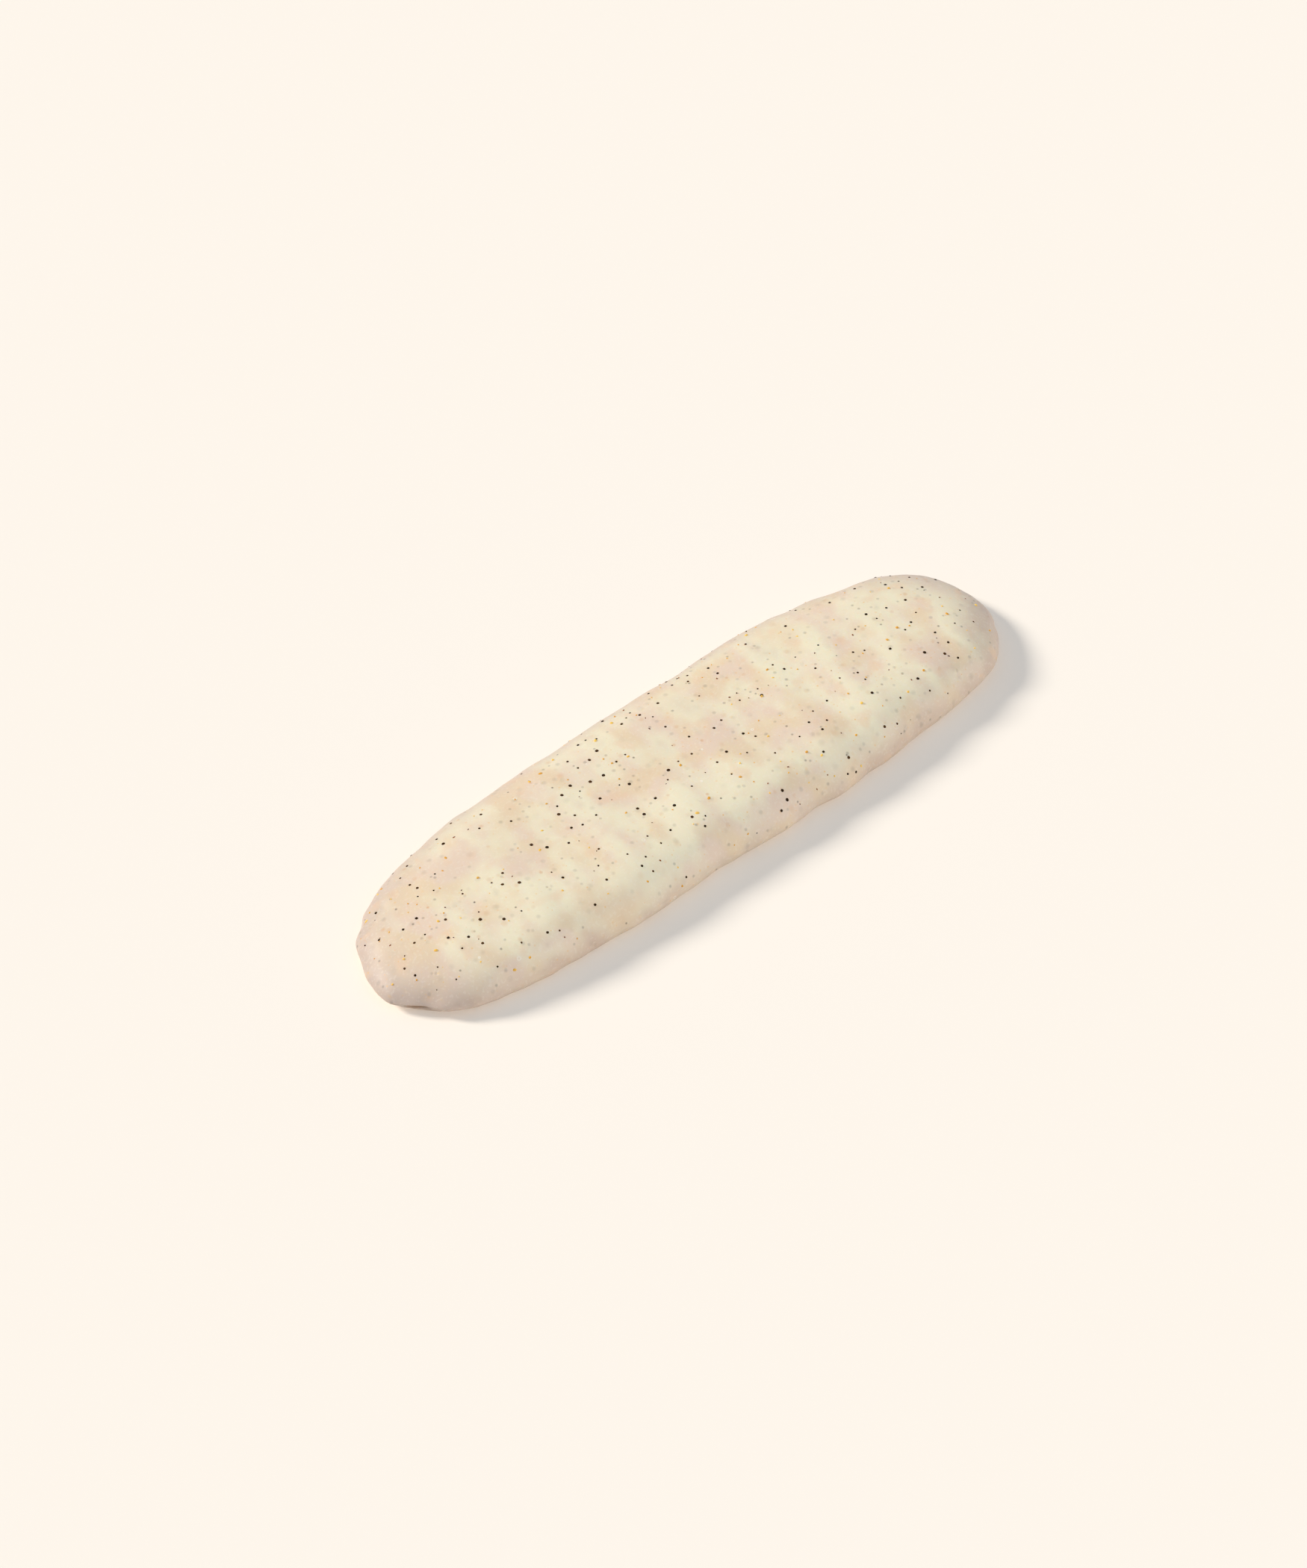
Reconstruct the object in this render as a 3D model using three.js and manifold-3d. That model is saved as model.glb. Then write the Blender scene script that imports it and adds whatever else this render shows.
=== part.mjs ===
// A langue de chat biscuit: one long finger with round ends, wholly covered by a thick pale coating that has
// vanilla seeds in it. It lies on its flat underside. The origin is on that underside, in the middle of the
// biscuit's length and width; X runs along it, Y across it and Z up. Sizes are in millimetres.
import * as THREE from 'three';
import { mergeVertices } from 'three/addons/utils/BufferGeometryUtils.js';
import Module from 'manifold-3d';

// The finger
const LENGTH = 90.1;
const WIDTH = 25.4;
const HEIGHT = 5.5;
const RIM_HEIGHT = 1.3;      // where the side is widest, a little above the table
const END_FULLNESS = 4.08;   // exponent of the outline along the biscuit: blunt, round ends
const SIDE_FULLNESS = 2.42;  // exponent of the outline across it
const CROWN_SHOULDER = 2.1;  // exponents of the rise from the rim to the crown: the higher this one, the flatter
const CROWN_FULLNESS = 0.63; // the top, and the lower this one, the steeper the sides
const TAPER = 0.01;          // the +X half is this share wider, the other half narrower
const BEND = 0.88;           // the middle bows this far towards +Y
const FOOT_LEVEL = 0.75;     // where the underside ends and the round lower edge begins, 0 middle, 1 rim

// It rests on the flat oblong middle of its underside, which rises gently from there to the rim and the ends
const REST_LENGTH = 60;
const REST_WIDTH = 15;
const REST_RISE = 3;         // degrees, towards the rim

// The mesh of the finger
const STATIONS = 104;        // along it, closer together at the ends
const AROUND = 36;           // round one section
const TOP_SHARE = 0.6;       // the share of those that crosses the top
const EDGE_CROWDING = 2.4;   // how closely the underside's points crowd to the rim

// Waves that the coating set in, from side to side of the biscuit: place along X, and height
const WAVE_WIDTH = 2.2;
const WAVE_LEAN = 0.12;      // they lean towards +X on the far side
const WAVE_SIDE = -7;        // the Y where they stand highest
const WAVE_REACH = 6;
const WAVE_BASE = 0.3;       // the share of the height that they keep elsewhere
const WAVES = [
  [-35, 0.14], [-26, 0.28], [-14, 0.30], [-4, 0.33], [4.5, 0.25],
  [15, 0.34], [22, 0.28], [31.5, 0.31], [38, 0.25],
];

// Bulges (+) and dents (-) of the rim: place on the outline X, Y, then the amount and the spread
const RIM_BULGES = [
  [-45, -2, 0.64, 1.5], [-44.3, 4.2, -0.55, 1.7], [-40.6, 8.2, -0.37, 1.0], [-33, 11.1, 0.18, 1.6],
  [-24.5, 12.3, 0.30, 2.6], [9, 12.9, -0.40, 1.6], [19, 12.5, 0.21, 2.0], [26.2, 11.9, -0.28, 1.2],
  [32.2, 10.7, -0.45, 1.8], [40.3, 7.3, 0.21, 2.2], [44, -4.6, -0.10, 1.6], [38.8, -9.1, 0.45, 2.0],
  [28, -11.5, -0.51, 4.2], [12.8, -12, 0.35, 2.4], [4, -12, 0.48, 2.4], [-5.3, -12, -0.51, 1.8],
  [-26.6, -11.6, -0.53, 3.6], [-34.2, -10.4, -0.41, 1.1], [-38.9, -8.8, 0.39, 1.9], [-43.1, -6, -0.39, 1.1],
];

// Broad hollows and swells of the top: centre X, Y, then the amount, the reach along X and across
const TOP_SWELLS = [
  [-39, 5, -0.10, 3.5, 3.0], [-30, -4, 0.10, 6.0, 5.0], [-18, 4, -0.10, 7.0, 4.0], [-2, 2, 0.08, 7.0, 6.0],
  [12, 5, -0.10, 5.0, 4.0], [24, -3, 0.10, 6.0, 5.0], [36, 3, -0.10, 5.0, 5.0],
];

// At the -X end the coating's lip stands a hair off the table: a slit under it, and a thin foot below the slit
const SLIT = { x: -43.0, y: -5.2, z: 0.72, halfLength: 2.4, halfDepth: 1.0, halfHeight: 0.34, heading: -53 };
const FOOT = { x: -42.8, y: -2.7, z: 0.14, halfLength: 3.2, halfDepth: 1.2, halfHeight: 0.26, heading: -59 };

// Vanilla seeds that stand out of the coating
const SEED_COUNT = 112;
const SEED_RADIUS = [0.15, 0.21];
const SEED_SUNK = 0.45;      // share of the radius by which a seed's middle lies below the surface
const SEED_CLEAR = 0.9;      // no two middles are closer than this
const SEED_LOW = 0.96;       // none sits nearer the rim than this level
const SEED_DRAW = 20261;     // the start of the random row

const coating = new THREE.MeshStandardMaterial({ color: 0xe9d8bb, roughness: 0.5, metalness: 0 });

const wasm = await Module();
wasm.setup();

// A row of numbers from 0 to 1 that is the same each time
function randomRow(start) {
  let state = start;
  return () => {
    state = (state * 16807) % 2147483647;
    return state / 2147483647;
  };
}

function bell(distance, spread) {
  return Math.exp(-0.5 * (distance / spread) ** 2);
}

// How far the coating stands out at a place on the plan, beyond the plain finger
function relief(x, y, level) {
  let height = 0;
  const across = WAVE_BASE + (1 - WAVE_BASE) * bell(y - WAVE_SIDE, WAVE_REACH);
  for (const [place, amount] of WAVES) height += amount * across * bell(x - place - WAVE_LEAN * y, WAVE_WIDTH);
  for (const [px, py, amount, spread] of RIM_BULGES) {
    height += amount * level ** 2 * bell(Math.hypot(x - px, y - py), spread);
  }
  for (const [px, py, amount, reachX, reachY] of TOP_SWELLS) {
    height += amount * bell(x - px, reachX) * bell(y - py, reachY);
  }
  return height;
}

// A point of the finger's skin. station runs from -1 to 1 along it; across from 1 (+Y rim) to -1 (-Y rim).
function skinPoint(station, across, onTop) {
  const endLevel = Math.abs(station) ** END_FULLNESS;
  const halfWidth = (WIDTH / 2) * (1 - endLevel) ** (1 / SIDE_FULLNESS) * (1 + TAPER * station);
  const level = Math.min(1, endLevel + (1 - endLevel) * Math.abs(across) ** SIDE_FULLNESS);
  const x = (station * LENGTH) / 2;
  const y = halfWidth * across;
  const outward = new THREE.Vector2(
    Math.sign(x) * END_FULLNESS * Math.abs(station) ** (END_FULLNESS - 1) / (LENGTH / 2),
    Math.sign(y) * SIDE_FULLNESS * Math.abs(y / (WIDTH / 2)) ** (SIDE_FULLNESS - 1) / (WIDTH / 2),
  ).normalize();

  let z;
  let sideways;
  let upwards = 0;
  if (onTop) {
    z = RIM_HEIGHT + (HEIGHT - RIM_HEIGHT) * (1 - level ** CROWN_SHOULDER) ** CROWN_FULLNESS;
    sideways = level ** 1.5;
    upwards = Math.sqrt(1 - level);
  } else {
    const edge = Math.max(0, (level - FOOT_LEVEL) / (1 - FOOT_LEVEL));
    z = RIM_HEIGHT * (1 - Math.sqrt(1 - edge * edge));
    sideways = edge * edge;
  }
  const yBent = y + BEND * (1 - station * station);
  const out = relief(x, yBent, level);
  return new THREE.Vector3(x + out * sideways * outward.x, yBent + out * sideways * outward.y, z + out * upwards);
}

// The finger: a sphere's grid with its poles at the two ends, and each of its points moved to the skin
function fingerGeometry() {
  const geometry = new THREE.SphereGeometry(1, AROUND, STATIONS);
  const { position, uv } = geometry.attributes;
  for (let i = 0; i < position.count; i++) {
    const station = -Math.cos(Math.PI * uv.getY(i));
    const turn = Math.min(1, Math.max(0, uv.getX(i)));
    const onTop = turn <= TOP_SHARE;
    let across;
    if (onTop) {
      across = Math.cos((Math.PI * turn) / TOP_SHARE);
    } else {
      const underside = 2 * (turn - TOP_SHARE) / (1 - TOP_SHARE) - 1;
      across = Math.sign(underside) * (1 - (1 - Math.abs(underside)) ** EDGE_CROWDING);
    }
    const point = skinPoint(station, across, onTop);
    position.setXYZ(i, point.x, point.y, point.z);
  }
  return geometry;
}

// Makes a closed geometry a solid that can be joined and cut
function solidFrom(geometry) {
  geometry.deleteAttribute('normal');
  geometry.deleteAttribute('uv');
  const merged = mergeVertices(geometry, 1e-4);
  return new wasm.Manifold(new wasm.Mesh({
    numProp: 3,
    vertProperties: new Float32Array(merged.attributes.position.array),
    triVerts: new Uint32Array(merged.index.array),
  }));
}

function geometryFrom(solid) {
  const mesh = solid.getMesh();
  const geometry = new THREE.BufferGeometry();
  geometry.setAttribute('position', new THREE.BufferAttribute(new Float32Array(mesh.vertProperties), 3));
  geometry.setIndex(new THREE.BufferAttribute(new Uint32Array(mesh.triVerts), 1));
  geometry.computeVertexNormals();
  return geometry;
}

// A flattened ball that lies along the rim, for the slit and the foot under it
function rimPebble({ x, y, z, halfLength, halfDepth, halfHeight, heading }) {
  const geometry = new THREE.IcosahedronGeometry(1, 2);
  geometry.scale(halfLength, halfDepth, halfHeight);
  geometry.rotateZ(THREE.MathUtils.degToRad(heading));
  geometry.translate(x, y, z);
  return solidFrom(geometry);
}

// The space that the finger may fill: a wide shallow tray on four sides, whose floor is the oblong it rests on
function restingSpace() {
  const height = 1.5 * HEIGHT;
  const run = height / Math.tan(THREE.MathUtils.degToRad(REST_RISE));
  const spread = 1 + run / (REST_WIDTH / 2);
  const geometry = new THREE.CylinderGeometry(spread, 1, height, 4);
  geometry.rotateX(Math.PI / 2);
  geometry.rotateZ(Math.PI / 4);
  geometry.scale(REST_LENGTH / Math.SQRT2, REST_WIDTH / Math.SQRT2, 1);
  geometry.translate(0, 0, height / 2);
  return solidFrom(geometry);
}

// Seeds: spread evenly over the skin of the top by its area, each half sunk in the coating
function seedSolids() {
  const random = randomRow(SEED_DRAW);
  const fullTurn = 2 * Math.PI;
  const step = 0.01;
  const cellArea = (station, turn) => {
    const here = skinPoint(station, Math.cos(turn), true);
    const along = skinPoint(station + step, Math.cos(turn), true).sub(here);
    const around = skinPoint(station, Math.cos(turn + step), true).sub(here);
    return along.cross(around);
  };
  const mostArea = (step * LENGTH / 2) * (step * WIDTH / 2);
  const middles = [];
  const solids = [];
  while (solids.length < SEED_COUNT) {
    const station = (2 * random() - 1) * (1 - 2 * step);
    const turn = Math.PI * random() * (1 - step);
    const keep = random();
    const radius = THREE.MathUtils.lerp(...SEED_RADIUS, random() ** 2);
    const spin = new THREE.Euler(fullTurn * random(), fullTurn * random(), fullTurn * random());
    const endLevel = Math.abs(station) ** END_FULLNESS;
    const level = endLevel + (1 - endLevel) * Math.abs(Math.cos(turn)) ** SIDE_FULLNESS;
    const area = cellArea(station, turn);
    if (level > SEED_LOW || keep > area.length() / mostArea) continue;
    const middle = skinPoint(station, Math.cos(turn), true);
    if (middles.some((other) => other.distanceTo(middle) < SEED_CLEAR)) continue;
    middles.push(middle);
    const inwards = area.normalize().multiplyScalar(Math.sign(area.z) * -SEED_SUNK * radius);
    const geometry = new THREE.IcosahedronGeometry(radius, 0);
    geometry.applyMatrix4(new THREE.Matrix4().makeRotationFromEuler(spin));
    geometry.translate(middle.x + inwards.x, middle.y + inwards.y, middle.z + inwards.z);
    solids.push(solidFrom(geometry));
  }
  return solids;
}

function coatedBiscuit() {
  let solid = solidFrom(fingerGeometry());
  solid = solid.add(rimPebble(FOOT)).subtract(rimPebble(SLIT)).intersect(restingSpace());
  for (const seed of seedSolids()) solid = solid.add(seed);
  const geometry = geometryFrom(solid);
  geometry.computeBoundingBox();
  const middle = geometry.boundingBox.getCenter(new THREE.Vector3());
  geometry.translate(-middle.x, -middle.y, 0);
  const mesh = new THREE.Mesh(geometry, coating);
  mesh.name = 'coated_biscuit';
  return mesh;
}

const biscuit = new THREE.Group();
biscuit.add(coatedBiscuit());

export default biscuit;
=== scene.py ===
import math

import bmesh
import bpy
from mathutils import Euler, Matrix, Vector, noise


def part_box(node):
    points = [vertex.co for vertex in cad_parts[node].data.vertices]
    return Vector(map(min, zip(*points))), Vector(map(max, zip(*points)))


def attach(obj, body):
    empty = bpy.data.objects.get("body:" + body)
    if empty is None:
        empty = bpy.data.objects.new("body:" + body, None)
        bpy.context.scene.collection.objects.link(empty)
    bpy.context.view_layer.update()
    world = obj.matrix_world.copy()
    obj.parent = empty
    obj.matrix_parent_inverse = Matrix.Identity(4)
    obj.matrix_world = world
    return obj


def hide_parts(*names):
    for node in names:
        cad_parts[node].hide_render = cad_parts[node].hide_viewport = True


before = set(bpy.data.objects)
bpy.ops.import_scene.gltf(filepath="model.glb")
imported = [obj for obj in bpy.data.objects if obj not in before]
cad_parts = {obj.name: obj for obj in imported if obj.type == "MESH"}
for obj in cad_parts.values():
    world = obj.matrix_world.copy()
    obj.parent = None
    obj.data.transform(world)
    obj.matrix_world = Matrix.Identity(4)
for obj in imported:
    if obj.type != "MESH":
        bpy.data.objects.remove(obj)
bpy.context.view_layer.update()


# ---- The coated biscuit ------------------------------------------------------------------------------------------
# A baked finger with round ends, dipped all over in a thick pale vanilla coating and set down on its flat side. The
# coating ran into low waves from side to side, bulged along the rim and left a thin lip with a slit at one end.

mm = 0.001

# The finger, in millimetres. Its skin is worked out round its own middle and centred afterwards.
length, width, height = 90.1, 25.4, 5.5
rim_height = 1.3         # where the side is widest
end_fullness = 4.08      # exponent of the outline along the biscuit: blunt, round ends
side_fullness = 2.42     # exponent of the outline across it
crown_shoulder = 2.1     # exponents of the rise from the rim to the crown: the higher this one, the flatter the
crown_fullness = 0.63    # top, and the lower this one, the steeper the sides
taper = 0.01             # the +X half is this share wider
bend = 0.88              # the middle bows this far towards +Y
foot_level = 0.75        # where the round lower edge begins, 0 middle, 1 rim

# The flat oblong that it rests on, and how steeply the underside rises beyond it
rest_length, rest_width = 60, 15
rest_rise = math.radians(3)

# Waves of the coating from side to side: their spread along X and how far they lean, the side on which they stand
# highest, how far they keep that height, and the share of it that is left beyond
wave_width, wave_lean = 2.2, 0.12
wave_side, wave_reach, wave_base = -7, 6, 0.3
# Each wave's place along X, and its height
waves = [
    (-35, 0.14), (-26, 0.28), (-14, 0.30), (-4, 0.33), (4.5, 0.25),
    (15, 0.34), (22, 0.28), (31.5, 0.31), (38, 0.25),
]

# Bulges (+) and dents (-) of the rim: place on the outline X, Y, then the amount and the spread
rim_bulges = [
    (-45, -2, 0.64, 1.5), (-44.3, 4.2, -0.55, 1.7), (-40.6, 8.2, -0.37, 1.0), (-33, 11.1, 0.18, 1.6),
    (-24.5, 12.3, 0.30, 2.6), (9, 12.9, -0.40, 1.6), (19, 12.5, 0.21, 2.0), (26.2, 11.9, -0.28, 1.2),
    (32.2, 10.7, -0.45, 1.8), (40.3, 7.3, 0.21, 2.2), (44, -4.6, -0.10, 1.6), (38.8, -9.1, 0.45, 2.0),
    (28, -11.5, -0.51, 4.2), (12.8, -12, 0.35, 2.4), (4, -12, 0.48, 2.4), (-5.3, -12, -0.51, 1.8),
    (-26.6, -11.6, -0.53, 3.6), (-34.2, -10.4, -0.41, 1.1), (-38.9, -8.8, 0.39, 1.9), (-43.1, -6, -0.39, 1.1),
]

# Broad hollows and swells of the top: centre X, Y, then the amount, the reach along X and across
top_swells = [
    (-39, 5, -0.10, 3.5, 3.0), (-30, -4, 0.10, 6.0, 5.0), (-18, 4, -0.10, 7.0, 4.0), (-2, 2, 0.08, 7.0, 6.0),
    (12, 5, -0.10, 5.0, 4.0), (24, -3, 0.10, 6.0, 5.0), (36, 3, -0.10, 5.0, 5.0),
]

# Where the coating lies thick and cream (+) or thin, so that the baked crust warms it (-): centre X, Y, the amount,
# the reach along X and across. The last four, a band along the near side, are painted light: they lighten that side.
coat_and_near_light_patches = [
    (-25.6, -5, 0.60, 1.2, 2.4), (-19.6, -2.2, 0.30, 1.0, 3.4), (-13.6, -3.4, 0.60, 1.4, 4.4),
    (-4.1, -5, 0.60, 1.7, 2.6), (3.5, -5.8, 0.25, 2.0, 2.0), (10.9, 4.9, 0.35, 1.2, 1.3),
    (16.2, 2.6, 0.45, 1.2, 3.8), (22.2, -1.4, 0.60, 1.4, 4.6), (27.4, 4.5, 0.28, 1.5, 2.0),
    (34.9, 3.1, 0.30, 1.2, 3.0), (37.4, -4.5, 0.40, 1.0, 2.4), (41.9, 2.1, 0.30, 2.6, 4.0),
    (-35.6, -3, 0.30, 1.3, 1.2), (-23.8, 7.3, 0.18, 3.0, 4.0), (29.4, -1.4, 0.25, 1.2, 3.0),
    (-37.6, 4.5, -0.40, 4.5, 4.0), (-28.2, 8.9, -0.25, 5.0, 3.0), (-27.1, 4, -0.25, 2.4, 1.5),
    (16.8, -8.1, -0.50, 1.4, 1.1), (25.3, -10.1, -0.55, 2.2, 1.0), (34.5, -5.8, -0.45, 1.0, 2.0),
    (40.9, -4.5, -0.35, 1.2, 1.2), (-23.6, -9.1, -0.40, 1.5, 1.4), (7.8, 7.9, -0.25, 5.0, 2.0),
    (22.8, 8.4, -0.22, 6.0, 2.0), (-4.6, 0.6, -0.20, 7.0, 2.5), (-40.1, -5, -0.35, 2.0, 2.0),
    (0.8, -10.1, -0.25, 6.0, 1.0), (-29, 5.5, 0.28, 6.0, 4.0), (-27.5, -8, 0.35, 5.5, 1.8),
    (-12, -8.6, 0.35, 7.0, 1.8), (3, -8.4, 0.45, 7.0, 1.6), (22, -8.4, 0.28, 11.0, 1.4),
]
coat_base = 0.46         # how thick it lies between the patches
coat_lean = 0.25         # how far the patches lean along X, for each millimetre across

# The unevenness that the coating set with: the size of its swells, their height, and the share of that height by
# which they are set down, so that the skin stays inside the solid's box
rolling_size, rolling_height, rolling_drop = 3.6, 0.085, 0.7
dimple_size, dimple_height = 1.7, 0.024
cream_height, cream_drop = 0.18, 0.8
rim_swell_size, rim_swell_height, rim_swell_drop = 2.3, 0.26, 0.4
rim_swell_middle, rim_swell_reach = 1.6, 2.2     # the height that they are centred on, and how far they fade from it
top_fade = 2             # the small forms of the top come in over this height, from the rim up

# Pinholes in the top where a bubble burst: the place on the plan, its radius and its depth. The spread of the hole
# and the place and the spread of the ring that stands up round it are in radii, and the ring's height in depths.
hole_spread, ring_place, ring_spread, ring_height = 0.45, 1.3, 0.35, 0.25
pinholes = [
    (-36.3, -2.6, 0.24, 0.16), (-40.1, -4.7, 0.22, 0.12), (-0.4, -8.6, 0.22, 0.12), (33.3, -9.3, 0.42, 0.20),
    (11.0, -8.8, 0.20, 0.10), (-19.4, 3.6, 0.18, 0.08),
]

# The shallow trough in the top at the -X end: from one place on the plan to the other, its half width and its depth
trough_start, trough_end = Vector((-38.2, 6.9)), Vector((-41.4, 6.1))
trough_width, trough_depth = 0.50, 0.26

# The slit under the lip at the -X end, and the thin foot below it: the middle, the heading along the rim, its reach
# along the rim and its height, and how deep it goes or how far it stands out
slit_middle, slit_heading, slit_reach, slit_half_height = Vector((-43.3, -4.8, 0.88)), -55, 1.0, 0.27
foot_middle, foot_heading, foot_reach, foot_half_height = Vector((-44.1, -3.2, 0.24)), -60, 1.9, 0.20
slit_depth, foot_out = 0.90, 0.85
slit_from = -38          # both lie from this X towards the end
floor_fade = 0.1         # and both come in over this height, from the floor up

# The line along the lower edge beside the slit, where the crust shows through, and its strength beside the slit's
crust_middle, crust_heading, crust_reach, crust_half_height = Vector((-41.2, -7.4, 0.55)), -48, 3.6, 0.20
crust_strength = 0.45
crust_from = -36         # it shows from this X towards the end

# The side is painted darker from this height down, as painted shade towards the floor, less so about one place along
# X
side_shade_top, side_shade_fade = 4.7, 3.0
paler_place, paler_reach, paler_share = -10, 15, 0.3

# The far side and both ends are painted darker and mauve towards the rim, as painted shade: how far out that begins,
# 0 middle, 1 rim, and from which line on the plan and over which distance
edge_shade_level = 0.45
far_line, far_fade = -6, 11
left_line, left_fade = -32, 12
right_line, right_fade = 34, 18

around, along = 84, 240  # faces round the finger and along it
top_share = 0.6          # the share of those round it that crosses the top
edge_crowding = 2.4      # how closely the underside's faces crowd to the rim
fine_above = 0.2         # finer faces are cut above this height
hole_fine, slit_fine = 4, 3.2    # how far round a pinhole, in radii, and round the slit
resting_below = 0.02     # the underside below this height stays flat


def bell(distance, spread):
    return math.exp(-0.5 * (distance / spread) ** 2)


def clamped(share):
    return max(0.0, min(1.0, share))


def relief(x, y, level):
    """How far the coating stands out at a place on the plan, beyond the plain finger."""
    share = wave_base + (1 - wave_base) * bell(y - wave_side, wave_reach)
    out = sum(amount * share * bell(x - place - wave_lean * y, wave_width) for place, amount in waves)
    for px, py, amount, spread in rim_bulges:
        out += amount * level ** 2 * bell(math.hypot(x - px, y - py), spread)
    for px, py, amount, reach_x, reach_y in top_swells:
        out += amount * bell(x - px, reach_x) * bell(y - py, reach_y)
    return out


def level_at(station, across):
    """0 in the middle of the plan and 1 on the rim."""
    end_level = abs(station) ** end_fullness
    return min(1, end_level + (1 - end_level) * abs(across) ** side_fullness)


def skin_point(station, across, on_top):
    """A point of the skin: station runs from -1 to 1 along it, across from 1, the +Y rim, to -1."""
    level = level_at(station, across)
    half_width = width / 2 * (1 - abs(station) ** end_fullness) ** (1 / side_fullness) * (1 + taper * station)
    x, y = station * length / 2, half_width * across
    outward = Vector((
        math.copysign(end_fullness * abs(station) ** (end_fullness - 1) / (length / 2), x),
        math.copysign(side_fullness * abs(2 * y / width) ** (side_fullness - 1) / (width / 2), y),
    )).normalized()
    if on_top:     # the relief pushes outwards at the rim and upwards in the middle
        z = rim_height + (height - rim_height) * (1 - level ** crown_shoulder) ** crown_fullness
        sideways, upwards = level ** 1.5, math.sqrt(1 - level)
    else:
        edge = max(0, (level - foot_level) / (1 - foot_level))
        z = rim_height * (1 - math.sqrt(1 - edge * edge))
        sideways, upwards = edge * edge, 0
    y += bend * (1 - station * station)
    out = relief(x, y, level)
    point = Vector((x + out * sideways * outward.x, y + out * sideways * outward.y, z + out * upwards))
    rise = math.tan(rest_rise)
    lift_along = (abs(point.x) - rest_length / 2) * rise * rest_width / rest_length
    lift_across = (abs(point.y) - rest_width / 2) * rise
    point.z = max(point.z, lift_along, lift_across)
    return point


def cream_at(x, y):
    """How thick the coating lies, from about 0, thin and warm, to 1, thick and cream, with painted light along the
    near side.
    """
    share = coat_base
    for px, py, amount, reach_x, reach_y in coat_and_near_light_patches:
        share += amount * bell(x - px - coat_lean * (y - py), reach_x) * bell(y - py, reach_y)
    return share


def along_rim(point, middle, heading, reach, half_height):
    """1 at the middle of a form that lies along the rim, fading along it and up and down."""
    away = point - middle
    turned = math.radians(heading)
    run = away.x * math.cos(turned) + away.y * math.sin(turned)
    return bell(run, reach) * bell(away.z, half_height)


def side_shade_at(point):
    """How far painted shade darkens the side at a place."""
    paler = paler_share * bell(point.x - paler_place, paler_reach)
    return clamped((side_shade_top - point.z) / side_shade_fade) * (1 - paler)


def edge_shade_at(point, level):
    """How strongly painted shade darkens the edge, in a mauve tone, at a place of that level on the plan."""
    beyond = max(
        (point.y - far_line) / far_fade, (left_line - point.x) / left_fade, (point.x - right_line) / right_fade,
    )
    return max(0, (level - edge_shade_level) / (1 - edge_shade_level)) * clamped(beyond)


def finish_height(point):
    """The set coating's small unevenness at a place, as a height over the plain skin."""
    top = clamped((point.z - rim_height) / top_fade)
    swell = noise.noise(point / rolling_size) - rolling_drop
    dimple = noise.noise(point / dimple_size + Vector((7, 3, 1)))
    thick = cream_at(point.x, point.y) - cream_drop
    out = rolling_height * swell + dimple_height * dimple + cream_height * top * thick
    beside_rim = max(0.0, 1 - abs(point.z - rim_swell_middle) / rim_swell_reach)
    out += rim_swell_height * beside_rim * (noise.noise(point / rim_swell_size + Vector((2, 9, 4))) - rim_swell_drop)
    for px, py, radius, depth in pinholes:
        distance = math.hypot(point.x - px, point.y - py) / radius
        out += top * depth * (ring_height * bell(distance - ring_place, ring_spread) - bell(distance, hole_spread))
    run = trough_end - trough_start
    share = clamped((point.xy - trough_start).dot(run) / run.length_squared)
    return out - top * trough_depth * bell((point.xy - trough_start - share * run).length, trough_width)


body = bmesh.new()
bmesh.ops.create_uvsphere(body, u_segments=around, v_segments=along, radius=1)
plan_level = body.verts.layers.float.new("plan_level")
for vert in body.verts:
    station = max(-1, min(1, vert.co.z))
    turn = math.atan2(vert.co.y, vert.co.x) / (2 * math.pi) % 1
    if turn <= top_share:
        across = math.cos(math.pi * turn / top_share)
    else:
        underside = 2 * (turn - top_share) / (1 - top_share) - 1
        across = math.copysign(1 - (1 - abs(underside)) ** edge_crowding, underside)
    vert.co = skin_point(station, across, turn <= top_share)
    vert[plan_level] = level_at(station, across)

# The body is centred on its box, as the frame's node is
node_low, node_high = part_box("coated_biscuit")
xs, ys = [v.co.x for v in body.verts], [v.co.y for v in body.verts]
plain_middle = Vector(((min(xs) + max(xs)) / 2, (min(ys) + max(ys)) / 2, 0))
node_middle = Vector(((node_low.x + node_high.x) / 2, (node_low.y + node_high.y) / 2, 0)) / mm
centring = node_middle - plain_middle

# Finer faces round each pinhole and round the slit
fine_places = [(Vector((px, py)), hole_fine * radius) for px, py, radius, _ in pinholes]
for place, reach in fine_places + [(slit_middle.xy, slit_fine)]:
    near = {v for v in body.verts if v.co.z > fine_above and (v.co.xy - place).length < reach}
    edges = [e for e in body.edges if e.verts[0] in near and e.verts[1] in near]
    bmesh.ops.subdivide_edges(body, edges=edges, cuts=1, use_grid_fill=True)
body.normal_update()

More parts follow.
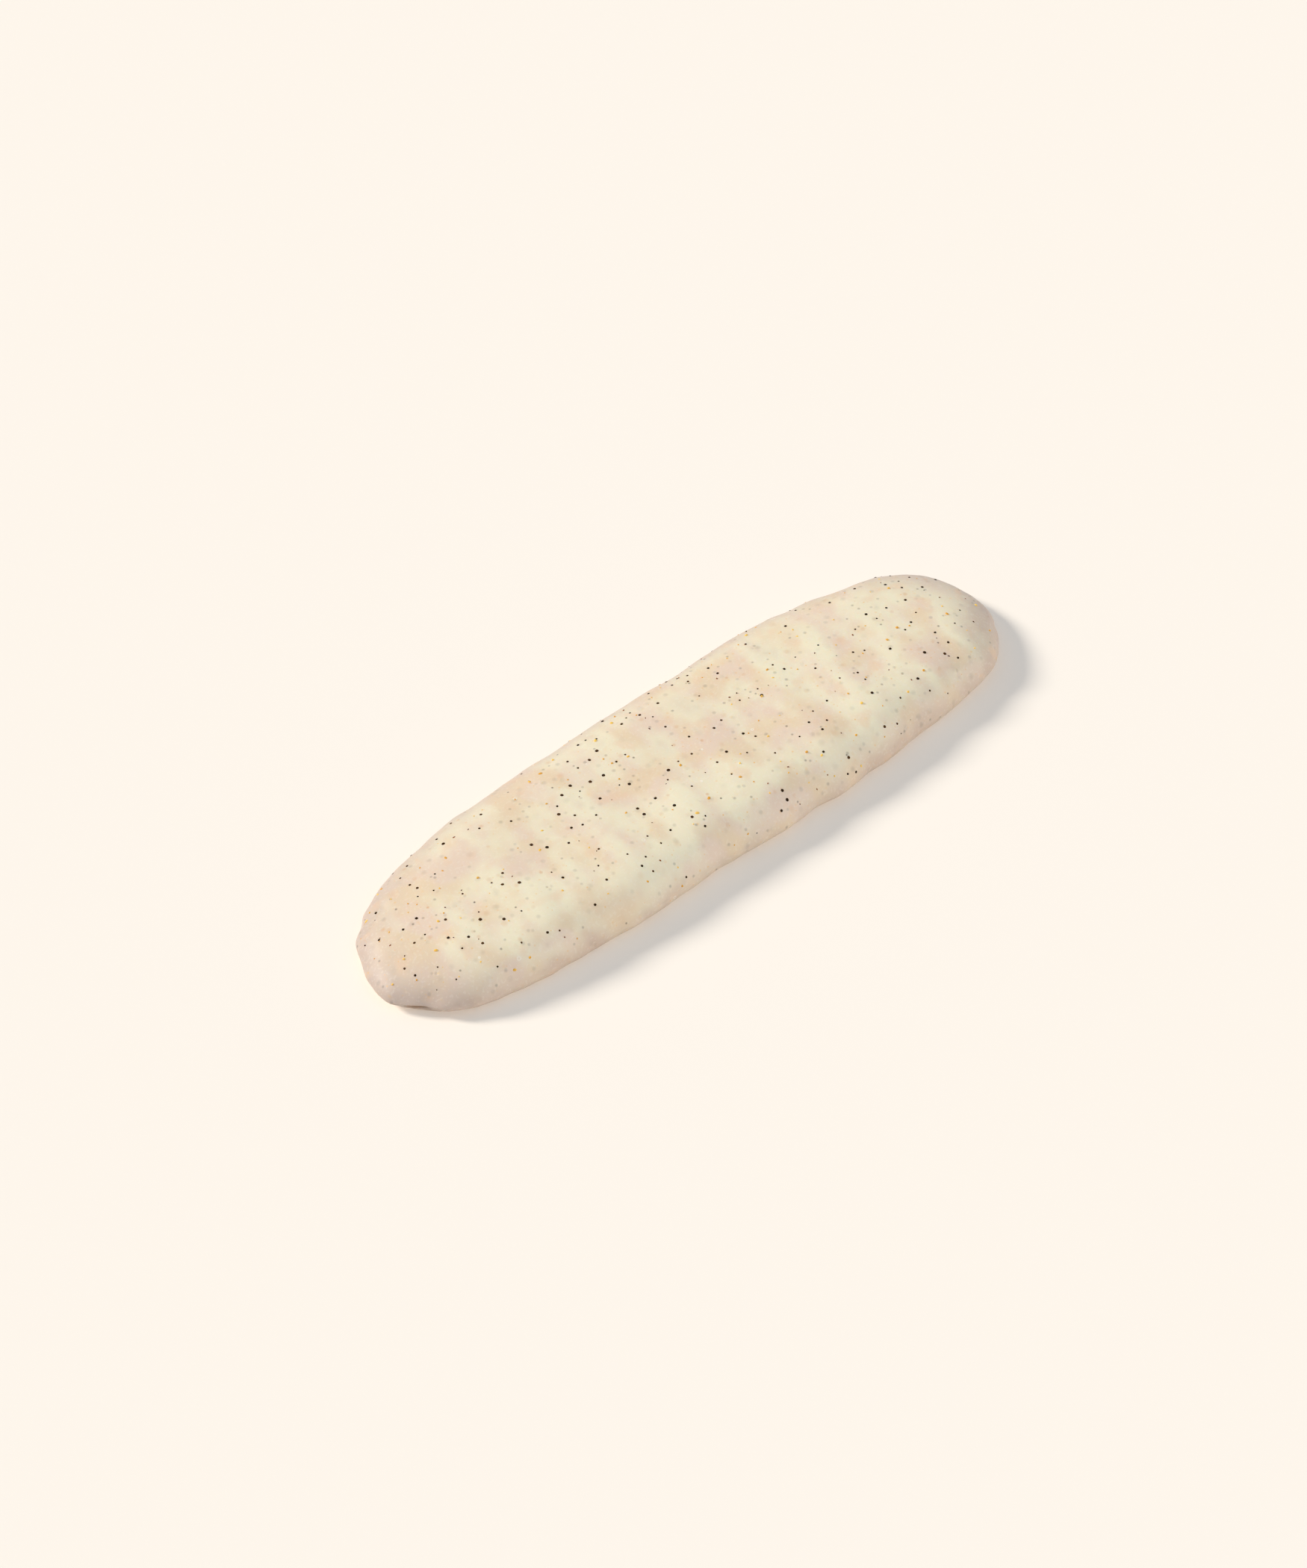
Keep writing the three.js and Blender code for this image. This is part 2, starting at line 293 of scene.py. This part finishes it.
# The numbers that the coating's colour follows, kept on the mesh, and then the small forms themselves
cream, gap, rim, edge = (body.verts.layers.float.new(name) for name in ("cream", "gap", "rim", "edge"))
moves = []
for vert in body.verts:
    slit = along_rim(vert.co, slit_middle, slit_heading, slit_reach, slit_half_height)
    foot = along_rim(vert.co, foot_middle, foot_heading, foot_reach, foot_half_height)
    crust = along_rim(vert.co, crust_middle, crust_heading, crust_reach, crust_half_height)
    vert[cream] = cream_at(vert.co.x, vert.co.y)
    # The slit is marked for painted shade, and the line beside it for the crust's brown.
    vert[gap] = max(slit, crust_strength * crust) if vert.co.x < crust_from and vert.co.y < 0 else 0
    vert[rim] = side_shade_at(vert.co)
    vert[edge] = edge_shade_at(vert.co, vert[plan_level])
    level_normal = Vector((vert.normal.x, vert.normal.y, 0)) * min(1, vert.co.z / floor_fade)
    out = foot_out * foot - slit_depth * slit if vert.co.x < slit_from else 0
    resting = vert.co.z < resting_below
    moves.append((vert, level_normal * out + (Vector() if resting else vert.normal * finish_height(vert.co))))
for vert, move in moves:
    vert.co += move


def piece_from(shape, name, material):
    """Centres a shape that was made in millimetres, and makes it an object in metres on the one body."""
    bmesh.ops.transform(shape, matrix=Matrix.Scale(mm, 4) @ Matrix.Translation(centring), verts=shape.verts)
    for face in shape.faces:
        face.smooth = True
    mesh = bpy.data.meshes.new(name)
    shape.to_mesh(mesh)
    shape.free()
    mesh.materials.append(material)
    piece = bpy.data.objects.new(name, mesh)
    bpy.context.scene.collection.objects.link(piece)
    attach(piece, "root")
    return piece


class Wire:
    """A socket that a shader node gives out. An expression on wires adds the Math nodes that work it out."""

    def __init__(self, tree, socket=None):
        self.tree, self.socket = tree, socket

    def node(self, kind, settings, inputs, output=0):
        """Adds a node of a kind: its settings first, then a value or a wire for each of its inputs."""
        made = self.tree.nodes.new(kind)
        for name, value in settings.items():
            setattr(made, name, value)
        for name, value in inputs.items():
            if isinstance(value, Wire):
                self.tree.links.new(value.socket, made.inputs[name])
            else:
                made.inputs[name].default_value = value
        return Wire(self.tree, made.outputs[output])

    def other(self, output):
        """Another output of the same node."""
        return Wire(self.tree, self.socket.node.outputs[output])

    def carried(self, name):
        """The number that the mesh carries under that name."""
        return self.node("ShaderNodeAttribute", {"attribute_name": name}, {}, "Fac")

    def math(self, operation, *others, clamp=False):
        inputs = dict(enumerate((self, *others)))
        return self.node("ShaderNodeMath", {"operation": operation, "use_clamp": clamp}, inputs)

    def vector(self, operation, *others, output=0):
        inputs = dict(enumerate((self, *others)))
        return self.node("ShaderNodeVectorMath", {"operation": operation}, inputs, output)

    def between(self, low, high):
        """0 below low and 1 above high, with a smooth rise."""
        inputs = {"Value": self, "From Min": low, "From Max": high}
        return self.node("ShaderNodeMapRange", {"interpolation_type": "SMOOTHSTEP"}, inputs)

    def noise(self, size, detail=2.0, shift=(0, 0, 0)):
        """Noise over a place in millimetres, with swells of that size."""
        moved = self.vector("ADD", shift)
        settings = {"noise_dimensions": "3D"}
        return self.node("ShaderNodeTexNoise", settings, {"Vector": moved, "Scale": 1 / size, "Detail": detail})

    def blend(self, first, second):
        """A colour: the first where this is 0 and the second where it is 1."""
        inputs = {"Factor": self, 6: first, 7: second}
        return self.node("ShaderNodeMix", {"data_type": "RGBA"}, inputs, 2)

    def __add__(self, other):
        return self.math("ADD", other)

    def __radd__(self, other):
        return self.math("ADD", other)

    def __sub__(self, other):
        return self.math("SUBTRACT", other)

    def __rsub__(self, other):
        return self.node("ShaderNodeMath", {"operation": "SUBTRACT"}, {0: other, 1: self})

    def __mul__(self, other):
        return self.math("MULTIPLY", other)

    def __rmul__(self, other):
        return self.math("MULTIPLY", other)

    def __truediv__(self, other):
        return self.math("DIVIDE", other)

    def __pow__(self, other):
        return self.math("POWER", other)


def new_material(name, specular):
    """A material, its shader's inputs, and a wire that gives the place on the object in millimetres."""
    material = bpy.data.materials.new(name)
    material.use_nodes = True
    tree = material.node_tree
    inputs = tree.nodes["Principled BSDF"].inputs
    inputs["Specular IOR Level"].default_value = specular
    place = Wire(tree).node("ShaderNodeTexCoord", {}, {}, "Object").vector("MULTIPLY", (1 / mm,) * 3)
    return material, inputs, place


def link(wire, socket):
    wire.tree.links.new(wire.socket, socket)


def scattered_cells(place, spacing, shift):
    """Points scattered through space, one in each cell of that size.

    It gives the place counted in cells, how many cells off the nearest point is, and that point's own chance number.
    """
    cells = place.vector("MULTIPLY_ADD", (1 / spacing,) * 3, shift)
    settings = {"voronoi_dimensions": "3D", "feature": "F1"}
    nearest = cells.node("ShaderNodeTexVoronoi", settings, {"Vector": cells, "Scale": 1.0, "Randomness": 1.0})
    chance = nearest.node("ShaderNodeSeparateColor", {}, {"Color": nearest.other("Color")}, "Red")
    return cells, nearest, chance


def sunk_specks(place, outward, spacing, radius, blur, sight, share, shift):
    """How strongly specks that are scattered through the coating show: 1 right under the skin, 0 out of sight.

    A speck of that radius looks wider with its depth, by blur, and fades over sight, all in millimetres.
    """
    weakest, roundness = 0.4, 1.3
    cells, nearest, chance = scattered_cells(place, spacing, shift)
    away = cells.vector("SUBTRACT", nearest.other("Position"))
    depth = away.vector("DOT_PRODUCT", outward, output="Value") * spacing
    beside = (nearest * spacing) ** 2 - depth ** 2
    reach = depth * blur + radius
    disc = (1 - beside / (reach * reach)).math("MAXIMUM", 0.0) ** roundness
    fading = (depth / -sight).math("EXPONENT")
    under = depth.math("GREATER_THAN", 0.0)
    strength = chance.math("LESS_THAN", share) * (chance * ((1 - weakest) / share) + weakest)
    return disc * fading * under * strength


def bubble_rings(place, spacing, radius, thickness, share, shift):
    """Thin rings where small bubbles of the coating burst and closed again."""
    _, nearest, chance = scattered_cells(place, spacing, shift)
    off = (nearest * spacing - radius).math("ABSOLUTE")
    return off.between(thickness, 0.0) * chance.math("LESS_THAN", share)


# The coating: satin and a little translucent. It is cream where it lies thick and peach where the crust warms it,
# with seeds and flecks that show through from just under its skin, and fine pale grains of sugar.
# Painted shade darkens the side towards the floor and the far rim and both ends, a band along the near side is
# painted lighter, the slit is painted dark, and the bubble rings carry a painted highlight.
thick_cream = (0.824, 0.757, 0.560, 1)
thin_peach = (0.765, 0.615, 0.430, 1)
thin_pink = (0.765, 0.614, 0.482, 1)
# The next two colours are painted shade: the side darkening towards the floor, then the far rim and ends darkening.
painted_side_shade = (0.660, 0.515, 0.400, 1)
painted_edge_shade = (0.552, 0.450, 0.388, 1)
blush = (0.790, 0.560, 0.380, 1)
seed_shadow = (0.055, 0.034, 0.018, 1)
deep_shadow = (0.125, 0.118, 0.092, 1)
caramel = (0.620, 0.300, 0.090, 1)
amber = (0.800, 0.450, 0.090, 1)
# The next colour is the pale of sugar grains, and also a painted highlight on the bubble rings.
sugar_and_ring_highlight_white = (0.920, 0.880, 0.790, 1)
# The next colour is the crust's brown, and also painted shade in the slit.
toasted_and_slit_shade = (0.300, 0.190, 0.110, 1)

# What lies just under the skin, the uppermost last: its colour and strength, the spacing of its cells, its radius,
# how it blurs and how soon it fades with depth, the share of the cells that has one, and the shift of the cells
sunk_kinds = [
    (caramel, 0.55, 2.4, 0.24, 0.60, 0.45, 0.75, (2.2, 8.8, 4.1)),
    (amber, 0.95, 1.5, 0.12, 0.35, 0.25, 0.70, (11.9, 3.4, 1.2)),
    (amber, 0.95, 0.9, 0.08, 0.20, 0.20, 0.60, (4.7, 9.1, 6.6)),
    (deep_shadow, 0.60, 1.8, 0.19, 0.45, 0.45, 0.85, (5.3, 2.1, 7.7)),
    (seed_shadow, 1.00, 1.6, 0.16, 0.30, 0.25, 0.70, (0.0, 0.0, 0.0)),
]

coating, coating_inputs, place = new_material("vanilla_coating", 0.35)
outward = place.node("ShaderNodeNewGeometry", {}, {}, "Normal")
# The cream number also carries a band of painted light that lightens the near side.
thickness = place.carried("cream")
rim_share, edge_share, slit_shade_and_crust_share = place.carried("rim"), place.carried("edge"), place.carried("gap")

# The mottling between cream and peach: patches that run across the biscuit, then small ones and broad ones
drawn_out = place.vector("MULTIPLY", (1.0, 0.42, 0.6))
mottle = (drawn_out.noise(2.6, 0.0, (9, 4, 2)) - 0.5) * 1.5
for size, strength, shift in ((1.2, 0.4, (3, 7, 1)), (6.5, 1.4, (4, 12, 6))):
    mottle = mottle + (place.noise(size, 0.0, shift) - 0.5) * strength

thin_colour = place.noise(5.0, 1.0, (31, 17, 5)).between(0.42, 0.58).blend(thin_peach, thin_pink)
coat_colour = (thickness + mottle).between(0.0, 1.0).blend(thin_colour, thick_cream)
# Painted shade: the side is painted darker towards the floor, broken up by the mottling.
coat_colour = (rim_share + mottle * 0.7).between(0.1, 1.1).blend(coat_colour, painted_side_shade)
# Painted shade in a mauve tone: the far rim and both ends are painted darker.
coat_colour = (edge_share * 0.95).blend(coat_colour, painted_edge_shade)
blushing = place.noise(2.3, 0.0, (14, 3, 9)).between(0.63, 0.82)
coat_colour = (blushing * 0.40).blend(coat_colour, blush)
sugar = place.noise(0.30, 0.0, (8, 2, 6)).between(0.58, 0.74)
coat_colour = (sugar * 0.12).blend(coat_colour, sugar_and_ring_highlight_white)
for colour, strength, *scatter in sunk_kinds:
    coat_colour = (sunk_specks(place, outward, *scatter) * strength).blend(coat_colour, colour)
bubbles = bubble_rings(place, spacing=3.4, radius=0.20, thickness=0.06, share=0.55, shift=(1.5, 6.2, 3.3))
# The bubble rings are painted pale: their own paleness and a painted highlight on their rims.
coat_colour = (bubbles * 0.6).blend(coat_colour, sugar_and_ring_highlight_white)
# The slit is painted dark as painted shade in its recess, and the line beside it brown where the crust shows through.
coat_colour = (slit_shade_and_crust_share * 0.85).between(0.15, 0.7).blend(coat_colour, toasted_and_slit_shade)
link(coat_colour, coating_inputs["Base Color"])
link((place.noise(0.8) - 0.5) * 0.16 + 0.5, coating_inputs["Roughness"])

grain = place.noise(0.22, 2.0) + place.noise(0.7, 1.0, (3, 5, 8)) + bubbles * 1.5
bump = grain.node("ShaderNodeBump", {}, {"Strength": 0.5, "Distance": 0.012 * mm, "Height": grain}, "Normal")
link(bump, coating_inputs["Normal"])
coating_inputs["Subsurface Weight"].default_value = 0.25
coating_inputs["Subsurface Radius"].default_value = (1.0, 0.65, 0.35)
coating_inputs["Subsurface Scale"].default_value = 0.9 * mm

biscuit = piece_from(body, "vanilla_coated_finger", coating)
smoothing = biscuit.modifiers.new("smoothing", "SUBSURF")
smoothing.levels = smoothing.render_levels = 1
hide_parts("coated_biscuit")


# ---- Vanilla seeds -----------------------------------------------------------------------------------------------
# Tiny round seeds, nearly black, stirred into the coating before the biscuit was dipped. The first of them stand a
# little out of it, at the places of the bumps on the frame's solid, and the others only just break through its skin.

standing_count, peeping_count = 112, 90
standing_sunk, peeping_sunk = 0.62, 0.78    # share of the radius by which the middle lies under the skin
side_sinking = 0.25      # and the share by which it lies deeper still where the side is upright
seed_radius, seed_stretch, seed_draw = (0.20, 0.29), (1.06, 1.0, 0.92), 20261
clearance = 0.9          # how far apart they lie at the least
outermost = 0.96         # how far out they reach, 0 middle, 1 rim


def number_row(start):
    """A row of numbers from 0 to 1 that is the same each time."""
    while True:
        start = start * 16807 % 2147483647
        yield start / 2147483647


def scattered(start, count):
    """Places spread evenly by area over the top: for each its middle, the way out, a size from 0 to 1 and a spin."""
    draws = number_row(start)
    step = 0.01
    most_area = (step * length / 2) * (step * width / 2)
    places = []
    while len(places) < count:
        station = (2 * next(draws) - 1) * (1 - 2 * step)
        turn = math.pi * next(draws) * (1 - step)
        keep = next(draws)
        size = next(draws) ** 2
        spin = Euler([2 * math.pi * next(draws) for _ in range(3)])
        here = skin_point(station, math.cos(turn), True)
        along_here = skin_point(station + step, math.cos(turn), True) - here
        around_here = skin_point(station, math.cos(turn + step), True) - here
        area = along_here.cross(around_here)
        if level_at(station, math.cos(turn)) > outermost or keep > area.length / most_area:
            continue
        if any((here - other[0]).length < clearance for other in places):
            continue
        places.append((here, area.normalized() * math.copysign(1, area.z), size, spin))
    return places


def scatter_shapes(places, radii, sunk_shares, stretch):
    """One mesh of small round shapes, from the least radius to the largest, each sunk by its share of its radius."""
    shapes = bmesh.new()
    for (here, out, size, spin), sunk in zip(places, sunk_shares, strict=True):
        radius = radii[0] + (radii[1] - radii[0]) * size
        middle = here + out * (finish_height(here) - radius * sunk - side_sinking * radius * (1 - out.z))
        place_of = Matrix.Translation(middle) @ spin.to_matrix().to_4x4() @ Matrix.Diagonal((*stretch, 1))
        bmesh.ops.create_uvsphere(shapes, u_segments=8, v_segments=6, radius=radius, matrix=place_of)
    return shapes


seed_black, seed_black_inputs, place = new_material("vanilla_seed_black", 0.03)
seed_dark, seed_brown = (0.034, 0.019, 0.008, 1), (0.080, 0.038, 0.014, 1)
link(place.noise(2.5, 1.0).between(0.45, 0.65).blend(seed_dark, seed_brown), seed_black_inputs["Base Color"])
link((place.noise(0.12) - 0.5) * 0.4 + 0.4, seed_black_inputs["Roughness"])

seed_places = scattered(seed_draw, standing_count + peeping_count)
seed_sunk = [standing_sunk] * standing_count + [peeping_sunk] * peeping_count
piece_from(scatter_shapes(seed_places, seed_radius, seed_sunk, seed_stretch), "vanilla_seeds", seed_black)


# ---- Pod specks --------------------------------------------------------------------------------------------------
# Fine red-brown crumbs of ground vanilla pod, longer than wide, stirred in with the seeds. They lie almost level with
# the coating's skin.

speck_count, speck_draw = 60, 4177
speck_radius, speck_stretch, speck_sunk = (0.065, 0.12), (1.7, 0.9, 0.8), 0.35

pod_brown, pod_brown_inputs, place = new_material("vanilla_pod_brown", 0.15)
pod_dark, pod_red = (0.055, 0.022, 0.012, 1), (0.260, 0.085, 0.025, 1)
link(place.noise(1.8, 1.0).between(0.40, 0.62).blend(pod_dark, pod_red), pod_brown_inputs["Base Color"])
pod_brown_inputs["Roughness"].default_value = 0.6

speck_places = scattered(speck_draw, speck_count)
speck_shapes = scatter_shapes(speck_places, speck_radius, [speck_sunk] * speck_count, speck_stretch)
piece_from(speck_shapes, "vanilla_pod_specks", pod_brown)


# ---- Amber flecks ------------------------------------------------------------------------------------------------
# Flecks of dried pod and caramel, honey yellow to orange, stirred in too. They lie pressed level into the skin of the
# coating.

fleck_count, fleck_draw = 130, 9203
fleck_radius, fleck_stretch, fleck_sunk = (0.09, 0.22), (1.5, 1.0, 0.8), 0.45

pod_amber, pod_amber_inputs, place = new_material("pod_amber", 0.15)
honey, burnt_orange = (0.900, 0.590, 0.130, 1), (0.720, 0.360, 0.060, 1)
link(place.noise(1.6, 1.0).between(0.42, 0.60).blend(honey, burnt_orange), pod_amber_inputs["Base Color"])
pod_amber_inputs["Roughness"].default_value = 0.6

fleck_places = scattered(fleck_draw, fleck_count)
fleck_shapes = scatter_shapes(fleck_places, fleck_radius, [fleck_sunk] * fleck_count, fleck_stretch)
piece_from(fleck_shapes, "amber_flecks", pod_amber)


# ---- The floor, the light and the camera -------------------------------------------------------------------------
# A plain pale floor under an even soft light. A soft lamp behind and to the left throws the short shadow to the front
# right. A very wide one in front lightens the near side and throws none. The camera stands as the photograph's did.

floor_size, floor_drop = 3, 0.02 * mm     # it lies a hair under the biscuit
floor_shape = bmesh.new()
bmesh.ops.create_grid(floor_shape, x_segments=1, y_segments=1, size=floor_size)
bmesh.ops.translate(floor_shape, vec=(0, 0, -floor_drop), verts=floor_shape.verts)
floor_mesh = bpy.data.meshes.new("floor")
floor_shape.to_mesh(floor_mesh)
floor_shape.free()
floor = bpy.data.objects.new("floor", floor_mesh)
bpy.context.scene.collection.objects.link(floor)
floor_paint, floor_inputs, _ = new_material("pale_floor", 0.0)
floor_inputs["Base Color"].default_value = (0.917, 0.859, 0.779, 1)
floor_inputs["Roughness"].default_value = 1.0
floor_mesh.materials.append(floor_paint)

world = bpy.data.worlds.new("even_light")
world.use_nodes = True
world.node_tree.nodes["Background"].inputs["Color"].default_value = (0.260, 0.294, 0.345, 1)
bpy.context.scene.world = world


def soft_lamp(name, bearing, rise, spread, strength, colour, shadow):
    """A far lamp: its bearing round the biscuit, anticlockwise from +X, its height and its spread, in degrees."""
    lamp = bpy.data.lights.new(name, "SUN")
    lamp.energy, lamp.color, lamp.angle = strength, colour, math.radians(spread)
    lamp.use_shadow = shadow
    lamp_object = bpy.data.objects.new(name, lamp)
    lamp_object.rotation_euler = Euler((0, math.radians(90 - rise), math.radians(bearing)))
    bpy.context.scene.collection.objects.link(lamp_object)


soft_lamp("key_lamp", bearing=125, rise=29, spread=14, strength=3.05, colour=(1.0, 0.932, 0.843), shadow=True)
soft_lamp("front_fill", bearing=-68, rise=43, spread=50, strength=1.62, colour=(1.0, 0.972, 0.940), shadow=False)

image_width, image_height = 1750, 2100
middle_pixel = (917.8, 1064.7)     # where the middle of the finger's own frame falls in the photograph
view_turn, view_drop = math.radians(42.09), math.radians(46)
view_distance = 583.3 * mm
lens = bpy.data.cameras.new("camera")
lens.lens, lens.sensor_width = 120, 36
lens.shift_x = (image_width / 2 - middle_pixel[0]) / image_height
lens.shift_y = (middle_pixel[1] - image_height / 2) / image_height
camera = bpy.data.objects.new("camera", lens)
towards_camera = Vector((
    -math.sin(view_turn) * math.cos(view_drop), -math.cos(view_turn) * math.cos(view_drop), math.sin(view_drop),
))
camera.location = centring * mm + towards_camera * view_distance
camera.rotation_euler = towards_camera.to_track_quat("Z", "Y").to_euler()
bpy.context.scene.collection.objects.link(camera)
bpy.context.scene.camera = camera
bpy.context.scene.view_settings.view_transform = "Standard"
